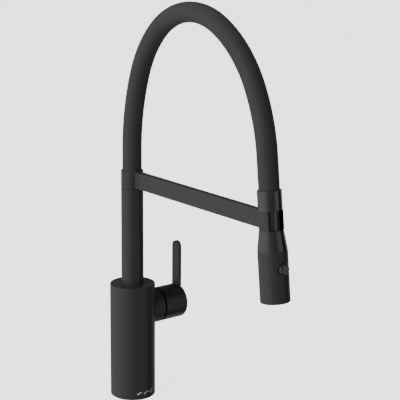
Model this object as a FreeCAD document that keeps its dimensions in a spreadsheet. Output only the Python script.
import FreeCAD, Part
import math
import os
import re

import Sketcher

from FreeCAD import Placement, Rotation, Vector

# Kitchen mixer with a pull-down handset on an arched hose.
#
# The mixer stands on the deck plane z = 0, with +Z up and its riser on the Z axis.
# The support arm and the handset are on the -Y side and the lever is on the +X side.
# All sizes are in millimetres and live in the sheet "Sizes".

document = FreeCAD.newDocument("KitchenMixer")
sheet = document.addObject("Spreadsheet::Sheet", "Sizes")

# ---------------------------------------------------------------- driving sizes
SIZES = {
    # general fits
    "slip_fit": 0.05,          # radial clearance of a turning or plugged fit
    "free_gap": 0.3,           # gap between pieces that pass each other
    "past": 1.0,               # how far a cutting tool runs past the face it cuts
    "seal_section": 1.6,       # cord thickness of the small round seals
    # body
    "body_radius": 25.0,
    "body_height": 129.6,
    "body_wall": 2.8,
    "body_roof": 4.0,
    "body_edge": 0.9,
    "foot_chamfer": 0.8,
    "base_seal_inset": 0.5,
    "base_seal_width": 1.2,
    "base_seal_thickness": 1.2,
    # side boss and cartridge
    "seat_roof": 2.3,          # metal between the cartridge seat and the riser socket
    "boss_wall": 2.6,
    "boss_proud": 8.0,         # how far the boss stands out of the body
    "boss_chamfer": 1.0,
    "spigot_wall": 2.1,
    "cartridge_radius": 12.5,
    "cartridge_length": 20.0,
    "cartridge_wall": 2.0,
    "cartridge_base_thickness": 4.0,
    "cartridge_lid_thickness": 1.7,
    "carrier_shoulder": 1.2,
    "disc_thickness": 3.5,
    "port_radius": 2.6,
    "port_spread": 5.6,
    "stem_pivot": 15.5,        # distance of the lever's tipping axis from the riser axis
    "stem_side": 5.0,
    "stem_end_gap": 7.8,       # from the end of the stem to the hub's cap
    "ball_radius": 4.0,
    "pivot_pin_radius": 1.25,
    "pin_half_length": 8.2,
    "tip_room": 2.8,           # room in the carrier for the stem to tip
    "finger_radius": 1.6,
    "finger_length": 5.9,
    "finger_play": 0.8,        # room beside the finger, along its throw, for its slant
    "disc_travel": 2.0,
    "nut_shoulder": 1.9,
    "nut_overlap": 2.0,
    "nut_length": 8.0,
    "nut_slot": 4.0,
    "nut_slot_depth": 2.5,
    "cover_flange": 2.0,
    "cover_step": 0.8,         # how far the cover's sleeve stands in from its flange
    "cover_wall": 2.2,
    "cover_entry": 1.6,        # how far the cover reaches into the hub
    # handle
    "hub_gap": 1.4,            # open groove between the boss and the hub
    "hub_length": 29.1,
    "hub_wall": 2.0,
    "hub_edge": 1.6,
    "socket_radius": 7.0,
    "socket_length": 20.0,
    "screw_radius": 2.5,
    "screw_length": 4.0,
    "plug_radius": 3.2,
    "plug_thickness": 1.0,
    "lever_width": 12.4,
    "lever_thickness": 3.7,
    "lever_reach": 70.0,       # from the hub's axis to the lever's top
    "tenon_depth": 5.0,
    "tenon_width": 8.2,
    "tenon_shoulder": 0.9,
    # waterway block
    "block_bottom": 38.0,
    "shoulder_wall": 5.3,
    "block_neck_radius": 16.0,
    "inlet_radius": 4.6,
    "inlet_depth": 12.0,
    "inlet_spread": 7.0,
    "inlet_setback": 6.0,
    "waterway_radius": 3.2,
    "feed_overlap": 4.0,       # how far the feeds run up past the cartridge's lowest line
    "outlet_way_offset": 2.0,
    # fixing kit under the deck
    "deck_thickness": 25.0,
    "stud_radius": 4.0,
    "stud_setback": 10.0,
    "stud_grip": 12.0,
    "stud_tail": 50.0,
    "clamp_radius": 23.5,
    "clamp_slot": 12.0,
    "clamp_slot_centre": 8.0,
    "clamp_gasket_thickness": 3.0,
    "clamp_washer_thickness": 2.5,
    "clamp_nut_radius": 7.5,
    "clamp_nut_length": 12.0,
    # riser and swivel
    "collar_wall": 1.35,
    "riser_wall": 1.8,
    "riser_reach": 108.1,      # from the body's top to the riser's top
    "riser_socket_depth": 13.0,
    "swivel_washer_thickness": 0.4,
    "swivel_gap": 0.1,
    "washer_inset": 0.4,
    "post_radius": 8.0,
    "post_bore": 4.0,
    "post_plug_length": 15.0,
    "post_reach": 12.3,
    "post_seal_start": 3.2,
    "bush_wall": 2.0,
    "bush_length": 9.2,
    "clip_thickness": 1.0,
    "clip_depth": 0.9,
    "clip_play": 0.5,
    "clip_opening": 3.0,
    # support arm
    "collar_height": 19.6,
    "collar_web": 2.8,
    "collar_pocket": 4.2,
    "collar_lip_edge": 0.6,
    "arm_rise": 1.1,           # steps from the collar's ends to the arm's edges
    "arm_drop": 0.6,
    "arm_thickness": 7.2,
    "arm_fillet": 3.0,
    # dock at the arm's end
    "dock_reach": 228.1,
    "dock_raise": 1.25,        # from the arm's middle to the dock's middle
    "dock_tilt": 6.4,
    "dock_clip_height": 19.3,
    "liner_wall": 0.8,
    "liner_proud": 0.5,        # how far the liner stands out of the clip's open ends
    # arched hose
    "sleeve_radius": 10.55,
    "sleeve_wall": 1.95,
    "spring_play": 0.2,
    "spring_wall": 0.7,
    "water_hose_play": 1.3,
    "water_hose_wall": 2.0,
    "hose_straight": 21.8,     # straight stretch above the collar before the first bend
    "rise_turn": 20.2,
    "shoulder_turn": 26.6,
    "far_shoulder_turn": 34.6,
    "fall_turn": 21.8,
    "rise_ratio": 2.87,        # bend radii, as multiples of the crown's radius
    "shoulder_ratio": 1.405,
    "fall_ratio": 2.08,
    "nipple_wall": 1.4,
    "ferrule_step": 0.6,
    "flange_thickness": 2.2,
    "nipple_length": 18.0,
    "nipple_lead": 2.0,        # length of the nipple's tapered tip
    "nipple_taper": 0.8,
    # handset
    "neck_wall": 1.4,
    "neck_top": 29.7,          # heights in the handset are measured from the dock's middle
    "neck_edge": 0.6,
    "neck_pocket_depth": 6.3,
    "waist_radius": 8.6,
    "dock_play": 0.15,
    "spin_radius": 5.5,
    "spin_bottom": -17.0,
    "clip_width": 2.2,
    "spin_seal_squeeze": 0.2,
    "chamber_radius": 10.5,
    "chamber_top": -14.0,
    "shell_radius": 15.05,
    "shell_wall": 1.8,
    "shell_top": -29.6,
    "shell_bottom": -81.5,
    "shell_chamfer": 0.8,
    "spigot_length": 7.4,
    "check_valve_top": -19.0,
    "check_valve_length": 8.0,
    "valve_mouth": 2.0,        # flare of the valve's mouth
    "valve_mouth_depth": 3.0,
    "core_shoulder": -38.5,
    "core_bottom": -75.6,
    "core_bore": 3.6,
    "face_recess": 0.6,
    "face_thickness": 3.6,
    "seal_lap": 1.0,
    "aerator_radius": 8.0,
    "aerator_length": 6.0,
    "outer_mesh_circle": 6.24,
    "inner_mesh_circle": 3.36,
    "nozzle_radius": 0.7,
    "nozzle_circle": 10.6,
    # spray button
    "button_height": -47.0,
    "button_radius": 5.9,
    "button_proud": 3.0,
    "button_flange": 7.2,
    "button_flange_thickness": 1.4,
    "button_travel": 2.5,
    "spool_radius": 4.3,
    "spool_end": 1.5,
    "spool_waist": 1.2,
    "spool_head": 2.5,
    "spool_chamber_end": 9.0,
    "button_dome": 2.6,
    "spring_radius": 3.7,
    "spring_wire": 0.6,
}

# sizes that follow from the ones above
DERIVED = {
    "riser_radius": "sleeve_radius + free_gap + collar_wall",
    "neck_radius": "sleeve_radius + free_gap + neck_wall",
    "spring_outer": "sleeve_radius - sleeve_wall - spring_play",
    "water_hose_radius": "spring_outer - spring_wall - water_hose_play",
    "nipple_radius": "water_hose_radius - water_hose_wall",
    "ferrule_bore": "nipple_radius - nipple_wall",
    "ferrule_neck": "nipple_radius + ferrule_step",
    "ferrule_flange": "spring_outer",
    "dock_slot": "waist_radius + free_gap",
    "body_bore": "body_radius - body_wall",
    "body_ceiling": "body_height - body_roof",
    "riser_bore": "riser_radius - riser_wall",
    "riser_top": "body_height + riser_reach",
    "riser_bottom": "body_ceiling - riser_socket_depth",
    "handle_height": "riser_bottom - cartridge_radius - seat_roof",
    "block_shoulder": "handle_height - cartridge_radius - shoulder_wall",
    "nut_radius": "cartridge_radius + nut_shoulder",
    "nut_bore": "cartridge_radius - nut_overlap",
    "boss_spigot": "nut_radius + spigot_wall",
    "boss_radius": "boss_spigot + boss_wall",
    "boss_reach": "body_radius + boss_proud",
    "hub_radius": "boss_radius",
    "cartridge_bore": "cartridge_radius - cartridge_wall",
    "fixed_disc_start": "cartridge_base_thickness",
    "moving_disc_start": "fixed_disc_start + disc_thickness + slip_fit",
    "carrier_start": "moving_disc_start + disc_thickness + slip_fit",
    "carrier_radius": "cartridge_bore - slip_fit",
    "carrier_neck": "carrier_radius - carrier_shoulder",
    "carrier_end": "cartridge_length + carrier_shoulder",
    "cartridge_lid": "cartridge_length - cartridge_lid_thickness",
    "nut_end": "cartridge_length + nut_length",
    "moving_disc_radius": "cartridge_bore - disc_travel - free_gap",
    "hub_start": "boss_reach + hub_gap",
    "hub_end": "hub_start + hub_length",
    "hub_cap": "hub_end - lever_thickness",
    "stem_reach": "hub_cap - stem_end_gap",
    "hub_bore": "hub_radius - hub_wall",
    "cover_radius": "nut_radius - cover_step",
    "cover_bore": "cover_radius - cover_wall",
    "cover_end": "hub_start + cover_entry",
    "tenon_start": "hub_cap + tenon_shoulder",
    "tenon_end": "hub_end - tenon_shoulder",
    "screw_place": "stem_reach - 2 * screw_radius",
    "lever_top": "handle_height + lever_reach",
    "lever_round": "lever_top - lever_width / 2",
    "clamp_gasket_top": "-deck_thickness",
    "clamp_washer_top": "clamp_gasket_top - clamp_gasket_thickness",
    "clamp_nut_top": "clamp_washer_top - clamp_washer_thickness",
    "post_top": "riser_top + post_reach",
    "post_clip": "riser_top + swivel_washer_thickness + swivel_gap + bush_length + swivel_gap",
    "collar_bottom": "riser_top + swivel_washer_thickness + swivel_gap",
    "collar_top": "collar_bottom + collar_height",
    "arm_bottom": "collar_bottom + arm_rise",
    "arm_top": "collar_top - arm_drop",
    "dock_height": "(arm_bottom + arm_top) / 2 + dock_raise",
    "hose_rise": "collar_top + hose_straight",
    "collar_bore": "post_radius + slip_fit + bush_wall",
    "pocket_floor": "collar_top - collar_pocket",
    "pocket_radius": "sleeve_radius + free_gap",
    "web_bottom": "pocket_floor - collar_web",
    "liner_radius": "dock_slot + liner_wall",
    "liner_reach": "sqrt(neck_radius ^ 2 - liner_radius ^ 2) + liner_proud",
    "half_clip": "dock_clip_height / 2",
    "waist_top": "half_clip + dock_play",
    "neck_floor": "neck_top - neck_pocket_depth",
    "neck_bore": "spin_radius + slip_fit",
    "upper_flange_bottom": "neck_floor + slip_fit",
    "shell_bore": "shell_radius - shell_wall",
    "spigot_radius": "shell_bore - slip_fit",
    "spigot_bottom": "shell_top - spigot_length",
    "face_bottom": "shell_bottom + face_recess",
    "face_top": "face_bottom + face_thickness",
    "aerator_top": "face_bottom + aerator_length",
    "core_neck_top": "check_valve_top - check_valve_length - slip_fit",
    "button_hole": "button_radius + free_gap",
    "button_flange_front": "sqrt(shell_bore ^ 2 - button_flange ^ 2) - free_gap",
    "button_flange_back": "button_flange_front - button_flange_thickness",
}


def fill_sheet():
    """Writes every size into the sheet, one named cell to a row."""
    cells = [(name, str(value)) for name, value in SIZES.items()]
    cells += [(name, "=" + formula) for name, formula in DERIVED.items()]
    for row, (name, content) in enumerate(cells, start=1):
        sheet.set("A%d" % row, name)
        sheet.set("B%d" % row, content)
        sheet.setAlias("B%d" % row, name)
    document.recompute()


fill_sheet()


def bound(formula):
    """A formula with each named size pointed at its cell in the sheet."""
    return re.sub(
        r"[a-z_]+",
        lambda word: "Sizes." + word.group(0) if word.group(0) in SIZES or word.group(0) in DERIVED
        else word.group(0),
        formula,
    )


def size(formula):
    """The present value of a formula of named sizes."""
    result = sheet.evalExpression(bound(formula))
    return float(getattr(result, "Value", result))


# ---------------------------------------------------------------- frames
AXIS_TURNS = {
    "X": Rotation(Vector(0, 1, 0), 90),
    "Y": Rotation(Vector(1, 0, 0), -90),
    "-Y": Rotation(Vector(1, 0, 0), 90),
    "Z": Rotation(),
}


def place(piece, frame):
    """Puts a finished piece where its own frame belongs on the mixer."""
    if frame == "handle":
        # the piece's own Z runs out along the handle's axis
        piece.Placement = Placement(Vector(0, 0, size("handle_height")), AXIS_TURNS["X"])
        piece.setExpression("Placement.Base.z", bound("handle_height"))
    if frame == "handset":
        # the piece's own Z runs up the leaning axis of the docked handset
        middle = Vector(0, -size("dock_reach"), size("dock_height"))
        piece.Placement = Placement(middle, Rotation(Vector(-1, 0, 0), size("dock_tilt")))
        piece.setExpression("Placement.Base.y", bound("-dock_reach"))
        piece.setExpression("Placement.Base.z", bound("dock_height"))
        piece.setExpression("Placement.Rotation.Angle", bound("dock_tilt"))
    return piece


# ---------------------------------------------------------------- ways of making a piece
pieces = {}
HANDLE_START = ("0", "0", "handle_height")


def keep(name, shape_object, frame="deck"):
    """Names a finished piece and adds it to the assembly."""
    if frame != "deck" and shape_object.TypeId == "Part::Cylinder":
        shape_object = group(name + "_placed", [shape_object])
    shape_object.Label = name
    pieces[name] = place(shape_object, frame)
    return shape_object


def origin_plane(body, role):
    return next(item for item in body.Origin.OriginFeatures if item.Role == role)


def lock(sketch, vertex, across, along):
    """Ties one corner of a sketch to its two formulas, measured from the sketch's origin."""
    for kind, formula, axis in (("DistanceX", across, -2), ("DistanceY", along, -1)):
        if formula == "0":
            sketch.addConstraint(Sketcher.Constraint("PointOnObject", vertex, 1, axis))
        else:
            constraint = Sketcher.Constraint(kind, -1, 1, vertex, 1, size(formula))
            index = sketch.addConstraint(constraint)
            sketch.setExpression("Constraints[%d]" % index, bound(formula))


def draw_outline(body, name, role, outline):
    """A closed sketch of straight lines through the outline's corners."""
    sketch = body.newObject("Sketcher::SketchObject", name)
    sketch.AttachmentSupport = [(origin_plane(body, role), "")]
    sketch.MapMode = "FlatFace"
    corners = [Vector(size(across), size(along), 0) for across, along in outline]
    count = len(corners)
    for index in range(count):
        sketch.addGeometry(Part.LineSegment(corners[index], corners[(index + 1) % count]), False)
    for index in range(count):
        sketch.addConstraint(Sketcher.Constraint("Coincident", index, 2, (index + 1) % count, 1))
    for index, (across, along) in enumerate(outline):
        lock(sketch, index, across, along)
    return sketch


def turned(name, outline, edges=()):
    """A lathe piece: its half outline of (radius, height) corners turned about its own Z.

    edges lists (radius, height, size, kind) of the rims that are rounded or chamfered.
    """
    body = document.addObject("PartDesign::Body", name)
    sketch = draw_outline(body, name + "_outline", "XZ_Plane", outline)
    turn = body.newObject("PartDesign::Revolution", name + "_turn")
    turn.Profile = sketch
    turn.ReferenceAxis = (sketch, ["V_Axis"])
    turn.Angle = 360
    sketch.Visibility = False
    document.recompute()
    last = turn
    for number, (radius, height, amount, kind) in enumerate(edges):
        last = finish_rims(body, last, name, number, (radius, height, amount, kind))
    return body


def finish_rims(body, base, name, number, rim):
    """Rounds or chamfers the rim of a turned piece at a given radius and height."""
    radius, height, amount, kind = rim
    found = [
        "Edge%d" % (index + 1)
        for index, edge in enumerate(base.Shape.Edges)
        if isinstance(edge.Curve, Part.Circle)
        and abs(edge.Curve.Radius - size(radius)) < 1e-4
        and abs(edge.Curve.Center.z - size(height)) < 1e-4
    ]
    if not found:
        raise RuntimeError("no rim on " + name + " at " + radius + ", " + height)
    feature = body.newObject("PartDesign::" + kind, "%s_%s%d" % (name, kind.lower(), number))
    feature.Base = (base, found)
    feature.setExpression("Radius" if kind == "Fillet" else "Size", bound(amount))
    document.recompute()
    return feature


def rod(name, radius, start, length, axis="Z"):
    """A plain cylinder from a start point along an axis."""
    piece = document.addObject("Part::Cylinder", name)
    piece.setExpression("Radius", bound(radius))
    piece.setExpression("Height", bound(length))
    set_corner(piece, start, AXIS_TURNS[axis])
    return piece


def block(name, low, high):
    """A box between two corners, each given as three formulas."""
    piece = document.addObject("Part::Box", name)
    for side, start, end in zip(("Length", "Width", "Height"), low, high):
        piece.setExpression(side, bound("(%s) - (%s)" % (end, start)))
    set_corner(piece, low, Rotation())
    return piece


def hexagon(name, radius, start, length):
    """A six-sided bar standing on a start point."""
    piece = document.addObject("Part::Prism", name)
    piece.Polygon = 6
    piece.setExpression("Circumradius", bound(radius))
    piece.setExpression("Height", bound(length))
    set_corner(piece, start, Rotation())
    return piece


def ring(name, major, minor, start, axis="Z"):
    """A round seal: a torus about a point."""
    piece = document.addObject("Part::Torus", name)
    piece.setExpression("Radius1", bound(major))
    piece.setExpression("Radius2", bound(minor))
    set_corner(piece, start, AXIS_TURNS[axis])
    return piece


def set_corner(piece, start, rotation):
    piece.Placement = Placement(Vector(*(size(value) for value in start)), rotation)
    for axis, value in zip("xyz", start):
        piece.setExpression("Placement.Base." + axis, bound(value))


def joined(name, parts):
    piece = document.addObject("Part::MultiFuse", name)
    piece.Shapes = parts
    piece.Refine = True
    return piece


def group(name, parts):
    """Identical small pieces that share one node, as separate solids."""
    piece = document.addObject("Part::Compound", name)
    piece.Links = parts
    return piece


def without(name, base, tools):
    """A piece with its holes and slots cut away."""
    piece = document.addObject("Part::Cut", name)
    piece.Base = base
    piece.Tool = tools[0] if len(tools) == 1 else joined(name + "_tools", tools)
    piece.Refine = True
    return piece


def washer(name, outer, inner, bottom, top):
    """A flat ring about the piece's own Z."""
    return turned(name, [(inner, bottom), (outer, bottom), (outer, top), (inner, top)])


# ---------------------------------------------------------------- body and deck fixing
def make_body():
    """The cylinder that stands on the deck, with a groove for the base seal, and its side boss."""
    tube = turned(
        "body_tube",
        [
            ("body_bore", "0"),
            ("body_radius", "0"),
            ("body_radius", "body_height"),
            ("riser_radius + slip_fit", "body_height"),
            ("riser_radius + slip_fit", "body_ceiling"),
            ("body_bore", "body_ceiling"),
        ],
        [
            ("body_radius", "0", "foot_chamfer", "Chamfer"),
            ("body_radius", "body_height", "body_edge", "Fillet"),
        ],
    )
    window = rod("boss_window", "boss_spigot", HANDLE_START, "body_radius + boss_proud", "X")
    seal_inside = "body_bore + base_seal_inset"
    seal_outside = seal_inside + " + base_seal_width"
    groove = washer("seal_groove", seal_outside + " + slip_fit", seal_inside + " - slip_fit",
                    "-past", "base_seal_thickness + slip_fit")
    keep("body_shell", without("body_finished", tube, [window, groove]))
    keep("base_seal", washer("base_seal_ring", seal_outside, seal_inside, "0", "base_seal_thickness"))
    collar = turned(
        "boss_collar",
        [("0", "0"), ("boss_radius", "0"), ("boss_radius", "boss_reach"), ("0", "boss_reach")],
        [("boss_radius", "boss_reach", "boss_chamfer", "Chamfer")],
    )
    outside = rod("body_outside", "body_radius", ("0", "0", "0"), "body_height")
    collar = without("boss_saddle", place(collar, "handle"), [outside])
    spigot = rod("boss_spigot_bar", "boss_spigot - slip_fit", HANDLE_START, "body_radius + past", "X")
    inside = rod("body_inside", "body_bore", ("0", "0", "0"), "body_ceiling")
    spigot = without("boss_spigot_end", spigot, [inside])
    bore = rod("boss_bore", "nut_radius + slip_fit", HANDLE_START, "boss_reach + past", "X")
    keep("side_boss", without("boss_finished", joined("boss_blank", [collar, spigot]), [bore]))


def make_waterway_block():
    """The brass block that holds the cartridge, the riser, both inlets and the fixing stud."""
    seal_heights = ["riser_bottom + %d * riser_socket_depth / 3" % number for number in (2, 1)]
    grooves = []
    for height in seal_heights:
        grooves += [
            ("riser_radius + slip_fit", height + " + seal_section / 2"),
            ("riser_radius + seal_section", height + " + seal_section / 2"),
            ("riser_radius + seal_section", height + " - seal_section / 2"),
            ("riser_radius + slip_fit", height + " - seal_section / 2"),
        ]
    core = turned(
        "block_blank",
        [
            ("0", "block_bottom"),
            ("block_neck_radius", "block_bottom"),
            ("block_neck_radius", "block_shoulder"),
            ("body_bore - slip_fit", "block_shoulder"),
            ("body_bore - slip_fit", "body_ceiling"),
            ("riser_radius + slip_fit", "body_ceiling"),
        ]
        + grooves
        + [("riser_radius + slip_fit", "riser_bottom - slip_fit"), ("0", "riser_bottom - slip_fit")],
    )
    seat = rod("cartridge_seat", "cartridge_radius + slip_fit", HANDLE_START, "body_radius", "X")
    stud_hole = rod("stud_hole", "stud_radius + slip_fit", ("0", "stud_setback", "block_bottom - past"),
                    "stud_grip + past + slip_fit")
    nut_start = ("cartridge_length", "0", "handle_height")
    nut_way = rod("nut_way", "nut_radius + slip_fit", nut_start, "body_radius", "X")
    cuts = [seat, nut_way, stud_hole]
    for side, sign in (("left", "-"), ("right", "")):
        centre = (sign + "inlet_spread", "-inlet_setback", "block_bottom - past")
        cuts.append(rod(side + "_inlet", "inlet_radius", centre, "inlet_depth + past"))
        cuts.append(rod(side + "_feed", "waterway_radius", centre,
                        "handle_height - cartridge_radius - block_bottom + feed_overlap"))
    cuts.append(rod("outlet_way", "waterway_radius", ("outlet_way_offset", "0", "handle_height"),
                    "riser_bottom - handle_height + past"))
    keep("valve_block", without("block_finished", core, cuts))
    seals = [
        ring("riser_seal%d" % number, "riser_radius + seal_section / 2", "seal_section / 2 - slip_fit",
             ("0", "0", height))
        for number, height in enumerate(seal_heights)
    ]
    keep("riser_seals", group("riser_seal_pair", seals))


def horseshoe(name, top, thickness):
    """A round plate with a slot open to the front for the supply hoses and a hole for the stud."""
    low = "%s - (%s)" % (top, thickness)
    plate = rod(name + "_disc", "clamp_radius", ("0", "0", low), thickness)
    slot = block(name + "_slot", ("-clamp_slot", "-clamp_radius - past", low + " - past"),
                 ("clamp_slot", "-clamp_slot_centre", top + " + past"))
    end_start = ("0", "-clamp_slot_centre", low + " - past")
    end = rod(name + "_slot_end", "clamp_slot", end_start, thickness + " + 2 * past")
    hole_start = ("0", "stud_setback", low + " - past")
    hole = rod(name + "_hole", "stud_radius + free_gap", hole_start, thickness + " + 2 * past")
    return without(name + "_plate", plate, [slot, end, hole])


def make_deck_fixing():
    """The stud, rubber and steel horseshoes and the long nut that clamp the mixer to its deck."""
    stud = rod("stud_bar", "stud_radius", ("0", "stud_setback", "-stud_tail"),
               "stud_tail + block_bottom + stud_grip")
    keep("fixing_stud", stud)
    keep("clamp_gasket", horseshoe("clamp_gasket", "clamp_gasket_top", "clamp_gasket_thickness"))
    keep("clamp_washer", horseshoe("clamp_washer", "clamp_washer_top", "clamp_washer_thickness"))
    bar_start = ("0", "stud_setback", "clamp_nut_top - clamp_nut_length")
    bar = hexagon("clamp_nut_bar", "clamp_nut_radius", bar_start, "clamp_nut_length")
    hole_start = ("0", "stud_setback", "clamp_nut_top - clamp_nut_length - past")
    hole = rod("clamp_nut_hole", "stud_radius + slip_fit", hole_start, "clamp_nut_length + 2 * past")
    keep("clamp_nut", without("clamp_nut_finished", bar, [hole]))


# ---------------------------------------------------------------- cartridge and handle
PORT_PLACES = [("port_spread", "-port_spread"), ("port_spread", "port_spread"), ("-port_spread", "0")]


def disc(name, radius, bottom, top):
    """A plain round plate about the piece's own Z."""
    return turned(name, [("0", bottom), (radius, bottom), (radius, top), ("0", top)])


def ported(name, blank, seal_seats):
    """A disc with the two inlet ports and the outlet port through it."""
    cuts = [
        rod("%s_port%d" % (name, number), "port_radius", (across, along, "-past"), "moving_disc_start + past")
        for number, (across, along) in enumerate(PORT_PLACES)
    ]
    if seal_seats:
        cuts += [
            ring("%s_seat%d" % (name, number), "port_radius + seal_section / 2", "seal_section / 2",
                 (across, along, "slip_fit"))
            for number, (across, along) in enumerate(PORT_PLACES)
        ]
    keep(name, without(name + "_finished", blank, cuts), "handle")


def make_cartridge():
    """The ceramic cartridge: ported base, two discs, housing, turning carrier, nut and its cover."""
    base = disc("cartridge_base_blank", "cartridge_radius", "slip_fit", "fixed_disc_start")
    ported("cartridge_base", base, True)
    fixed = disc("fixed_disc_blank", "cartridge_bore - slip_fit", "fixed_disc_start",
                 "fixed_disc_start + disc_thickness")
    ported("ceramic_disc_fixed", fixed, False)
    housing = turned(
        "cartridge_housing",
        [
            ("cartridge_bore", "fixed_disc_start"),
            ("cartridge_radius", "fixed_disc_start"),
            ("cartridge_radius", "cartridge_length"),
            ("carrier_neck + slip_fit", "cartridge_length"),
            ("carrier_neck + slip_fit", "cartridge_lid"),
            ("cartridge_bore", "cartridge_lid"),
        ],
    )
    keep("cartridge_housing", housing, "handle")
    nut = washer("cartridge_nut_blank", "nut_radius", "nut_bore", "cartridge_length", "nut_end")
    slots = [
        block("nut_slot_across", ("-nut_slot / 2", "-nut_radius - past", "nut_end - nut_slot_depth"),
              ("nut_slot / 2", "nut_radius + past", "nut_end + past")),
        block("nut_slot_along", ("-nut_radius - past", "-nut_slot / 2", "nut_end - nut_slot_depth"),
              ("nut_radius + past", "nut_slot / 2", "nut_end + past")),
    ]
    keep("cartridge_nut", without("cartridge_nut_finished", nut, slots), "handle")
    cover = turned(
        "nut_cover",
        [
            ("cover_bore", "nut_end"),
            ("nut_radius", "nut_end"),
            ("nut_radius", "nut_end + cover_flange"),
            ("cover_radius", "nut_end + cover_flange"),
            ("cover_radius", "cover_end"),
            ("cover_bore", "cover_end"),
        ],
    )
    keep("nut_cover", cover, "handle")
    make_moving_disc()
    make_carrier()


def make_moving_disc():
    """The ceramic disc that slides over the fixed one, with a pocket for the stem's finger."""
    disc_end = "moving_disc_start + disc_thickness"
    blank = disc("moving_disc_blank", "moving_disc_radius", "moving_disc_start", disc_end)
    low = ("-finger_radius - finger_play", "-finger_radius - slip_fit",
           "stem_pivot - finger_length - free_gap")
    high = ("finger_radius + finger_play", "finger_radius + slip_fit", disc_end + " + past")
    pocket = block("finger_pocket", low, high)
    keep("ceramic_disc_moving", without("moving_disc_finished", blank, [pocket]), "handle")


def make_carrier():
    """The carrier turns in the housing and holds the stem on a cross pin."""
    blank = turned(
        "carrier_blank",
        [
            ("0", "carrier_start"),
            ("carrier_radius", "carrier_start"),
            ("carrier_radius", "cartridge_lid - slip_fit"),
            ("carrier_neck", "cartridge_lid - slip_fit"),
            ("carrier_neck", "carrier_end"),
            ("0", "carrier_end"),
        ],
    )
    socket = rod("ball_socket", "ball_radius + free_gap", ("0", "-stem_side / 2 - slip_fit", "stem_pivot"),
                 "stem_side + 2 * slip_fit", "Y")
    slot = block("stem_slot", ("-stem_side / 2 - free_gap", "-stem_side / 2 - slip_fit", "stem_pivot"),
                 ("stem_side / 2 + tip_room", "stem_side / 2 + slip_fit", "carrier_end + past"))
    finger_way = block("finger_way", ("-finger_radius - tip_room", "-finger_radius - slip_fit",
                                      "carrier_start - past"),
                       ("finger_radius + free_gap", "finger_radius + slip_fit", "stem_pivot"))
    pin_start = ("0", "-cartridge_radius", "stem_pivot")
    pin_hole = rod("carrier_pin_hole", "pivot_pin_radius + slip_fit", pin_start, "2 * cartridge_radius", "Y")
    cuts = [socket, slot, finger_way, pin_hole]
    keep("cartridge_carrier", without("carrier_finished", blank, cuts), "handle")
    pin = rod("pivot_pin_bar", "pivot_pin_radius", ("0", "-pin_half_length", "stem_pivot"),
              "2 * pin_half_length", "Y")
    keep("stem_pivot_pin", pin, "handle")


def make_stem():
    """The square stem, flat-sided ball end and finger that work the moving disc."""
    bar = block("stem_bar", ("-stem_side / 2", "-stem_side / 2", "stem_pivot"),
                ("stem_side / 2", "stem_side / 2", "stem_reach"))
    knuckle = rod("stem_knuckle", "ball_radius", ("0", "-stem_side / 2", "stem_pivot"), "stem_side", "Y")
    finger = rod("stem_finger", "finger_radius", ("0", "0", "stem_pivot - finger_length"), "finger_length")
    whole = joined("stem_whole", [bar, knuckle, finger])
    pin_hole = rod("stem_pin_hole", "pivot_pin_radius + slip_fit", ("0", "-stem_side", "stem_pivot"),
                   "2 * stem_side", "Y")
    keep("lever_stem", without("stem_finished", whole, [pin_hole]), "handle")


def make_hub():
    """The hollow drum on the stem, with the screw that holds it and the lever's mortise."""
    drum = turned(
        "hub_drum",
        [
            ("0", "hub_cap - socket_length"),
            ("socket_radius", "hub_cap - socket_length"),
            ("socket_radius", "hub_cap"),
            ("hub_bore", "hub_cap"),
            ("hub_bore", "hub_start"),
            ("hub_radius", "hub_start"),
            ("hub_radius", "hub_end"),
            ("0", "hub_end"),
        ],
        [("hub_radius", "hub_end", "hub_edge", "Fillet")],
    )
    half_square = "stem_side / 2 + slip_fit"
    low_corner = ("-(%s)" % half_square, "-(%s)" % half_square, "hub_cap - socket_length - past")
    square = block("stem_socket", low_corner, (half_square, half_square, "stem_reach + slip_fit"))
    screw_way = rod("hub_screw_way", "screw_radius + slip_fit", ("0", "0", "screw_place"),
                    "socket_radius + past", "Y")
    plug_start = ("0", "socket_radius + past", "screw_place")
    plug_way = rod("hub_plug_way", "plug_radius", plug_start, "hub_radius", "Y")
    mortise = block("hub_mortise", ("-hub_radius - past", "-tenon_width / 2", "tenon_start"),
                    ("-hub_radius + tenon_depth", "tenon_width / 2", "tenon_end"))
    keep("handle_hub", without("hub_finished", drum, [square, screw_way, plug_way, mortise]), "handle")
    screw = rod("grub_screw_bar", "screw_radius", ("0", "stem_side / 2 + slip_fit", "screw_place"),
                "screw_length", "Y")
    keep("grub_screw", screw, "handle")
    plug_start = ("0", "hub_bore - slip_fit", "screw_place")
    plug = rod("plug_bar", "plug_radius - slip_fit", plug_start, "plug_thickness", "Y")
    keep("screw_plug", plug, "handle")


def make_lever():
    """The flat upright lever with a round top, seated on the hub's rim by a tenon."""
    blade = block("lever_bar", ("hub_cap", "-lever_width / 2", "handle_height + hub_radius - tenon_depth"),
                  ("hub_end", "lever_width / 2", "lever_round"))
    top = rod("lever_head", "lever_width / 2", ("hub_cap", "0", "lever_round"), "lever_thickness", "X")
    whole = joined("lever_whole", [blade, top])
    drum = rod("lever_seat", "hub_radius", ("hub_start", "0", "handle_height"), "hub_length + past", "X")
    shaped = without("lever_shaped", whole, [drum])
    tenon = block("lever_tenon", ("tenon_start + slip_fit", "-tenon_width / 2 + slip_fit",
                                  "handle_height + hub_radius - tenon_depth + slip_fit"),
                  ("tenon_end - slip_fit", "tenon_width / 2 - slip_fit", "handle_height + hub_radius + past"))
    keep("lever_blade", joined("lever_finished", [shaped, tenon]))


# ---------------------------------------------------------------- riser, swivel and arm
SWIVEL_SEAL_HEIGHTS = ("riser_top + post_seal_start", "riser_top + 2 * post_seal_start")


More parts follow.
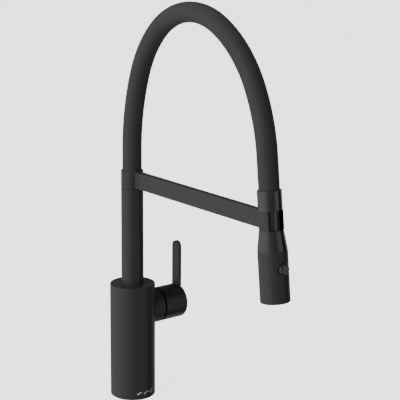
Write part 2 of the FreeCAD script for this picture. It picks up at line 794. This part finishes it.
def make_riser():
    """The riser tube and the fixed post on its top that the arm turns about."""
    keep("riser_tube", washer("riser", "riser_radius", "riser_bore", "riser_bottom", "riser_top"))
    groove = "post_radius - seal_section + slip_fit"
    outline = [
        ("post_bore", "riser_top - post_plug_length"),
        ("riser_bore - slip_fit", "riser_top - post_plug_length"),
        ("riser_bore - slip_fit", "riser_top"),
        ("post_radius", "riser_top"),
    ]
    for height in SWIVEL_SEAL_HEIGHTS:
        outline += [
            ("post_radius", height),
            (groove, height),
            (groove, height + " + seal_section"),
            ("post_radius", height + " + seal_section"),
        ]
    outline += [
        ("post_radius", "post_clip"),
        ("post_radius - clip_depth", "post_clip"),
        ("post_radius - clip_depth", "post_clip + clip_thickness"),
        ("post_radius", "post_clip + clip_thickness"),
        ("post_radius", "post_top"),
        ("post_bore", "post_top"),
    ]
    keep("swivel_post", turned("post", outline))
    seals = [
        ring("swivel_seal%d" % number, "post_radius - seal_section / 2 + slip_fit",
             "seal_section / 2 - slip_fit", ("0", "0", height + " + seal_section / 2"))
        for number, height in enumerate(SWIVEL_SEAL_HEIGHTS)
    ]
    keep("swivel_seals", group("swivel_seal_pair", seals))
    keep("swivel_washer", washer("slip_washer", "riser_radius - washer_inset", "post_radius + slip_fit",
                                 "riser_top", "riser_top + swivel_washer_thickness"))
    keep("swivel_bush", washer("bush", "collar_bore", "post_radius + slip_fit",
                               "collar_bottom", "collar_bottom + bush_length"))
    clip = washer("clip_ring", "collar_bore - clip_play", "post_radius - clip_depth",
                  "post_clip + slip_fit", "post_clip + clip_thickness - slip_fit")
    gap = block("clip_gap", ("-clip_opening / 2", "0", "post_clip - past"),
                ("clip_opening / 2", "collar_bore", "post_clip + clip_thickness + past"))
    keep("swivel_clip", without("clip_finished", clip, [gap]))


def slot_tool(name, half_width, reach, bottom, top):
    """The U of the dock in the handset's frame: round at the back and straight towards the front."""
    height = "(%s) - (%s)" % (top, bottom)
    back = rod(name + "_back", half_width, ("0", "0", bottom), height)
    front = block(name + "_front", ("-(%s)" % half_width, "-(%s)" % reach, bottom), (half_width, "0", top))
    return joined(name, [back, front])


def make_arm():
    """One casting: swivel collar, flat arm and the open clip that holds the handset."""
    collar = turned(
        "collar_blank",
        [("0", "collar_bottom"), ("riser_radius", "collar_bottom"), ("riser_radius", "collar_top"),
         ("0", "collar_top")],
        [("riser_radius", "collar_top", "collar_lip_edge", "Chamfer")],
    )
    bar = block("arm_bar", ("-arm_thickness / 2", "-dock_reach", "arm_bottom"),
                ("arm_thickness / 2", "0", "arm_top"))
    clip_disc = rod("clip_disc", "neck_radius", ("0", "0", "-half_clip"), "dock_clip_height")
    clip = place(group("clip_blank", [clip_disc]), "handset")
    rough = joined("arm_rough", [collar, bar, clip])
    document.recompute()
    root = [
        (index + 1, size("arm_fillet"), size("arm_fillet"))
        for index, edge in enumerate(rough.Shape.Edges)
        if is_root_corner(edge)
    ]
    rounded = document.addObject("Part::Fillet", "arm_rounded")
    rounded.Base = rough
    rounded.Edges = root
    bush_start = ("0", "0", "collar_bottom - past")
    bush_bore = rod("bush_bore", "collar_bore", bush_start, "web_bottom - collar_bottom + past")
    pocket = rod("hose_pocket", "pocket_radius", ("0", "0", "pocket_floor"), "collar_pocket + past")
    thread = rod("ferrule_thread", "ferrule_neck", ("0", "0", "web_bottom - past"), "collar_web + 2 * past")
    seat = place(slot_tool("liner_seat", "liner_radius", "neck_radius + 2 * past", "-dock_clip_height",
                           "dock_clip_height"), "handset")
    keep("support_arm", without("arm_finished", rounded, [bush_bore, pocket, thread, seat]))
    blank = slot_tool("liner_blank", "liner_radius", "liner_reach", "-half_clip", "half_clip")
    space = slot_tool("liner_space", "dock_slot", "neck_radius + 2 * past", "-dock_clip_height",
                      "dock_clip_height")
    keep("dock_liner", without("liner_finished", blank, [space]), "handset")


def is_root_corner(edge):
    """True for the two upright corners where the flat arm leaves the collar."""
    if len(edge.Vertexes) < 2:
        return False
    ends = [vertex.Point for vertex in edge.Vertexes]
    upright = abs(ends[0].x - ends[1].x) < 1e-4 and abs(ends[0].y - ends[1].y) < 1e-4
    on_side = abs(abs(ends[0].x) - size("arm_thickness") / 2) < 1e-4
    on_collar = abs(math.hypot(ends[0].x, ends[0].y) - size("riser_radius")) < 1e-3 and ends[0].y < 0
    return upright and on_side and on_collar


# ---------------------------------------------------------------- hose
def hose_turns():
    """The arch's bends from the riser to the handset, as (radius ratio, degrees) pairs."""
    half_turn = 180 - size("dock_tilt")
    crown = half_turn - sum(
        size(name) for name in ("rise_turn", "shoulder_turn", "far_shoulder_turn", "fall_turn")
    )
    return [
        (size("rise_ratio"), size("rise_turn")),
        (size("shoulder_ratio"), size("shoulder_turn")),
        (1.0, crown),
        (size("shoulder_ratio"), size("far_shoulder_turn")),
        (size("fall_ratio"), size("fall_turn")),
    ]


def bend(start, heading, radius, degrees):
    """One bend in the plane x = 0: its middle point, its end point and its new heading."""
    turn = math.radians(degrees)
    centre = start + Vector(0, math.cos(heading + math.pi / 2), math.sin(heading + math.pi / 2)) * radius
    points = []
    for part in (0.5, 1.0):
        angle = heading - math.pi / 2 + turn * part
        points.append(centre + Vector(0, math.cos(angle), math.sin(angle)) * radius)
    return points[0], points[1], heading + turn


def hose_route():
    """Edges of the hose's centre line: up, over in tangent bends, and down the handset's axis.

    The crown's radius is the one that brings the last bend onto the handset's axis.
    """
    first = Vector(0, 0, size("hose_rise"))
    heading, unit_end = math.pi / 2, Vector(0, 0, 0)
    for ratio, degrees in hose_turns():
        unit_end = bend(unit_end, heading, ratio, degrees)[1]
        heading += math.radians(degrees)
    down = Vector(0, math.cos(heading), math.sin(heading))
    across = Vector(0, -down.z, down.y)
    dock = Vector(0, -size("dock_reach"), size("dock_height"))
    crown_radius = across.dot(dock - first) / across.dot(unit_end)
    floor = dock - down * size("neck_floor + 2 * slip_fit")
    edges = [Part.LineSegment(Vector(0, 0, size("pocket_floor + slip_fit")), first).toShape()]
    start, heading = first, math.pi / 2
    for ratio, degrees in hose_turns():
        middle, end, heading = bend(start, heading, ratio * crown_radius, degrees)
        edges.append(Part.Arc(start, middle, end).toShape())
        start = end
    edges.append(Part.LineSegment(start, floor).toShape())
    print("hose radii", [round(ratio * crown_radius, 1) for ratio, _ in hose_turns()])
    return edges


def hose_tube(name, route, outer, inner, lift=0.0):
    """A round tube along the hose's route, raised off both ends by the lift."""
    spine = document.addObject("Part::Feature", name + "_line")
    spine.Shape = Part.Wire(shortened(route, lift))
    layers = []
    for label, radius in (("outside", outer), ("inside", inner)):
        section = document.addObject("Part::Circle", name + "_" + label)
        section.setExpression("Radius", bound(radius))
        start = spine.Shape.Vertexes[0].Point
        section.Placement = Placement(start, Rotation())
        sweep = document.addObject("Part::Sweep", name + "_" + label + "_sweep")
        sweep.Sections = [section]
        sweep.Spine = (spine, ["Edge%d" % (number + 1) for number in range(len(spine.Shape.Edges))])
        sweep.Solid = True
        layers.append(sweep)
    tube = without(name + "_tube", layers[0], [layers[1]])
    document.recompute()
    length = spine.Shape.Length
    expected = math.pi * (size(outer) ** 2 - size(inner) ** 2) * length
    share = tube.Shape.Volume / expected
    print("%s: length %.1f, volume / (section x length) = %.4f" % (name, length, share))
    keep(name, tube)


def shortened(route, lift):
    """The route with the same amount taken off its two straight ends."""
    if lift == 0:
        return route
    first, last = route[0], route[-1]
    start, bend_start = first.Vertexes[0].Point, first.Vertexes[1].Point
    bend_end, end = last.Vertexes[0].Point, last.Vertexes[1].Point
    new_start = start + (bend_start - start).normalize() * lift
    new_end = end + (bend_end - end).normalize() * lift
    return (
        [Part.LineSegment(new_start, bend_start).toShape()]
        + route[1:-1]
        + [Part.LineSegment(bend_end, new_end).toShape()]
    )


def make_hose():
    """The soft sleeve, the arch spring under it and the water hose inside, with both ferrules."""
    route = hose_route()
    above_flange = size("flange_thickness + slip_fit")
    hose_tube("hose_sleeve", route, "sleeve_radius", "sleeve_radius - sleeve_wall")
    hose_tube("arch_spring", route, "spring_outer", "spring_outer - spring_wall", above_flange)
    hose_tube("water_hose", route, "water_hose_radius", "nipple_radius", above_flange)
    flange_top = "pocket_floor + flange_thickness"
    keep("lower_ferrule", turned(
        "lower_ferrule_turned",
        [
            ("ferrule_bore", "web_bottom"),
            ("ferrule_neck", "web_bottom"),
            ("ferrule_neck", "pocket_floor"),
            ("ferrule_flange", "pocket_floor"),
            ("ferrule_flange", flange_top),
            ("nipple_radius", flange_top),
            ("nipple_radius", flange_top + " + nipple_length - nipple_lead"),
            ("nipple_radius - nipple_taper", flange_top + " + nipple_length"),
            ("ferrule_bore", flange_top + " + nipple_length"),
        ],
    ))
    flange_top = "upper_flange_bottom + flange_thickness"
    seal_seat = "spin_radius - seal_section + spin_seal_squeeze"
    keep("upper_ferrule", turned(
        "upper_ferrule_turned",
        [
            ("ferrule_bore", "spin_bottom"),
            ("spin_radius", "spin_bottom"),
            ("spin_radius", "chamber_top - clip_thickness - free_gap"),
            ("spin_radius - clip_depth", "chamber_top - clip_thickness - free_gap"),
            ("spin_radius - clip_depth", "chamber_top - free_gap"),
            ("spin_radius", "chamber_top - free_gap"),
            ("spin_radius", "-seal_section / 2"),
            (seal_seat, "-seal_section / 2"),
            (seal_seat, "seal_section / 2"),
            ("spin_radius", "seal_section / 2"),
            ("spin_radius", "upper_flange_bottom"),
            ("ferrule_flange", "upper_flange_bottom"),
            ("ferrule_flange", flange_top),
            ("nipple_radius", flange_top),
            ("nipple_radius", flange_top + " + nipple_length - nipple_lead"),
            ("nipple_radius - nipple_taper", flange_top + " + nipple_length"),
            ("ferrule_bore", flange_top + " + nipple_length"),
        ],
    ), "handset")
    clip = washer("spin_clip_ring", "spin_radius + clip_width", "spin_radius - clip_depth",
                  "chamber_top - clip_thickness - free_gap + slip_fit", "chamber_top - free_gap - slip_fit")
    gap = block("spin_clip_gap", ("-clip_opening / 2", "0", "chamber_top - free_gap - clip_thickness - past"),
                ("clip_opening / 2", "chamber_radius", "chamber_top"))
    keep("spin_clip", without("spin_clip_finished", clip, [gap]), "handset")
    seal = ring("spin_seal_ring", "spin_radius - seal_section / 2 + spin_seal_squeeze / 2 + slip_fit",
                "seal_section / 2 - spin_seal_squeeze / 2 - slip_fit / 2", ("0", "0", "0"))
    keep("spin_seal", group("spin_seal_group", [seal]), "handset")


# ---------------------------------------------------------------- handset
def make_neck():
    """The glossy neck: hose pocket, waist for the dock, and the taper down to the shell."""
    neck = turned(
        "neck_turned",
        [
            ("neck_bore", "chamber_top"),
            ("neck_bore", "neck_floor"),
            ("pocket_radius", "neck_floor"),
            ("pocket_radius", "neck_top"),
            ("neck_radius", "neck_top"),
            ("neck_radius", "waist_top"),
            ("waist_radius", "waist_top"),
            ("waist_radius", "-waist_top"),
            ("neck_radius", "-waist_top"),
            ("shell_radius", "shell_top"),
            ("spigot_radius", "shell_top"),
            ("spigot_radius", "spigot_bottom"),
            ("chamber_radius", "spigot_bottom"),
            ("chamber_radius", "chamber_top"),
        ],
        [("neck_radius", "neck_top", "neck_edge", "Fillet")],
    )
    keep("handset_neck", neck, "handset")


def make_shell():
    """The matte sleeve of the handset, with the button's hole in its front."""
    shell = turned(
        "shell_turned",
        [("shell_bore", "shell_bottom"), ("shell_radius", "shell_bottom"), ("shell_radius", "shell_top"),
         ("shell_bore", "shell_top")],
        [("shell_radius", "shell_bottom", "shell_chamfer", "Chamfer")],
    )
    hole = rod("button_way", "button_hole", ("0", "0", "button_height"), "shell_radius + past", "-Y")
    keep("handset_shell", without("shell_finished", shell, [hole]), "handset")


def make_core():
    """The waterway core in the shell, with the button's chamber across it."""
    core = turned(
        "core_turned",
        [
            ("core_bore", "aerator_top + slip_fit"),
            ("aerator_radius + slip_fit", "aerator_top + slip_fit"),
            ("aerator_radius + slip_fit", "core_bottom"),
            ("spigot_radius", "core_bottom"),
            ("spigot_radius", "core_shoulder"),
            ("chamber_radius - slip_fit", "core_shoulder"),
            ("chamber_radius - slip_fit", "core_neck_top"),
            ("core_bore", "core_neck_top"),
        ],
    )
    pocket = rod("button_pocket_way", "button_flange + free_gap",
                 ("0", "-(button_flange_back - button_travel - free_gap)", "button_height"),
                 "shell_radius", "-Y")
    chamber = rod("spool_way", "spool_radius + free_gap", ("0", "spool_chamber_end", "button_height"),
                  "spool_chamber_end + shell_radius", "-Y")
    keep("spray_core", without("core_finished", core, [pocket, chamber]), "handset")
    valve = turned(
        "check_valve_turned",
        [
            ("core_bore", "check_valve_top - check_valve_length"),
            ("chamber_radius - slip_fit", "check_valve_top - check_valve_length"),
            ("chamber_radius - slip_fit", "check_valve_top"),
            ("core_bore + valve_mouth", "check_valve_top"),
            ("core_bore", "check_valve_top - valve_mouth_depth"),
        ],
    )
    keep("check_valve", valve, "handset")


def make_outlet():
    """Spray face with a ring of nozzles, the aerator in its middle and the seal behind it."""
    face = turned(
        "face_turned",
        [
            ("aerator_radius + slip_fit", "face_bottom"),
            ("spigot_radius", "face_bottom"),
            ("spigot_radius", "face_top"),
            ("aerator_radius + slip_fit", "face_top"),
        ],
    )
    drill_ring(face, "nozzle", "nozzle_circle", "nozzle_radius", 24)
    keep("spray_face", face, "handset")
    screen = disc("aerator_turned", "aerator_radius", "face_bottom", "aerator_top")
    drill_ring(screen, "outer_mesh", "outer_mesh_circle", "nozzle_radius", 14)
    drill_ring(screen, "inner_mesh", "inner_mesh_circle", "nozzle_radius", 7)
    keep("aerator", screen, "handset")
    keep("outlet_seal", washer("outlet_seal_ring", "spigot_radius - slip_fit", "aerator_radius + seal_lap",
                               "face_top", "core_bottom"), "handset")


def drill_ring(body, name, circle, radius, count):
    """A ring of equal holes right through a disc, drilled once and repeated about its axis."""
    solid = body.Tip.Shape.Volume
    sketch = body.newObject("Sketcher::SketchObject", name + "_hole")
    sketch.AttachmentSupport = [(origin_plane(body, "XY_Plane"), "")]
    sketch.MapMode = "FlatFace"
    sketch.addGeometry(Part.Circle(Vector(size(circle), 0, 0), Vector(0, 0, 1), size(radius)), False)
    sketch.addConstraint(Sketcher.Constraint("PointOnObject", 0, 3, -1))
    place_index = sketch.addConstraint(Sketcher.Constraint("DistanceX", -1, 1, 0, 3, size(circle)))
    sketch.setExpression("Constraints[%d]" % place_index, bound(circle))
    radius_index = sketch.addConstraint(Sketcher.Constraint("Radius", 0, size(radius)))
    sketch.setExpression("Constraints[%d]" % radius_index, bound(radius))
    pocket = body.newObject("PartDesign::Pocket", name + "_pocket")
    pocket.Profile = sketch
    pocket.Type = "ThroughAll"
    pocket.Reversed = False
    document.recompute()
    if pocket.Shape.Volume > solid - 0.1:
        pocket.Reversed = True
        document.recompute()
    pattern = body.newObject("PartDesign::PolarPattern", name + "_ring")
    pattern.Originals = [pocket]
    pattern.Axis = (sketch, ["N_Axis"])
    pattern.Angle = 360
    pattern.Occurrences = count
    body.Tip = pattern
    document.recompute()
    expected = (solid - pocket.Shape.Volume) * count
    if abs(solid - pattern.Shape.Volume - expected) > 0.01 * expected:
        raise RuntimeError(name + " ring is not fully drilled")


def across_handset(name, inner):
    """Turns a piece made on the button's axis so that it points out of the handset's front."""
    facing = group(name + "_facing", [inner])
    facing.Placement = Placement(Vector(0, 0, size("button_height")), AXIS_TURNS["-Y"])
    facing.setExpression("Placement.Base.z", bound("button_height"))
    return group(name, [facing])


def make_button():
    """The domed spray button with its spool, and the spring that returns them."""
    button = turned(
        "button_turned",
        [
            ("0", "button_flange_back"),
            ("button_flange", "button_flange_back"),
            ("button_flange", "button_flange_front"),
            ("button_radius", "button_flange_front"),
            ("button_radius", "shell_radius + button_proud"),
            ("0", "shell_radius + button_proud"),
        ],
        [("button_radius", "shell_radius + button_proud", "button_dome", "Fillet")],
    )
    keep("spray_button", across_handset("button_on_front", button), "handset")
    spool = turned(
        "spool_turned",
        [
            ("0", "-spool_end"),
            ("spool_radius", "-spool_end"),
            ("spool_radius", "spool_end"),
            ("spool_radius - spool_waist", "spool_end"),
            ("spool_radius - spool_waist", "button_flange_back - spool_head"),
            ("spool_radius", "button_flange_back - spool_head"),
            ("spool_radius", "button_flange_back"),
            ("0", "button_flange_back"),
        ],
    )
    keep("diverter_spool", across_handset("spool_across", spool), "handset")
    spring = washer("spring_sleeve", "spring_radius", "spring_radius - spring_wire",
                    "-spool_chamber_end + slip_fit", "-spool_end - slip_fit")
    keep("button_spring", across_handset("spring_across", spring), "handset")


# ---------------------------------------------------------------- assembly
def check_and_export():
    """Stops on any failed feature or bad shape, then writes one file for each piece."""
    document.recompute()
    for item in document.Objects:
        if "Invalid" in item.State or "Error" in item.State:
            raise RuntimeError(item.Name + " failed: " + ", ".join(item.State))
    for name, piece in pieces.items():
        if piece.Shape.isNull() or not piece.Shape.isValid() or not piece.Shape.Solids:
            raise RuntimeError(name + " has no sound solid")
    os.makedirs("parts", exist_ok=True)
    for name, piece in pieces.items():
        piece.Shape.exportStep("parts/" + name + ".step")
        print("%-22s solids %d  volume %.0f" % (name, len(piece.Shape.Solids), piece.Shape.Volume))
    print(len(pieces), "pieces")


make_body()
make_waterway_block()
make_deck_fixing()
make_cartridge()
make_stem()
make_hub()
make_lever()
make_riser()
make_arm()
make_hose()
make_neck()
make_shell()
make_core()
make_outlet()
make_button()
check_and_export()
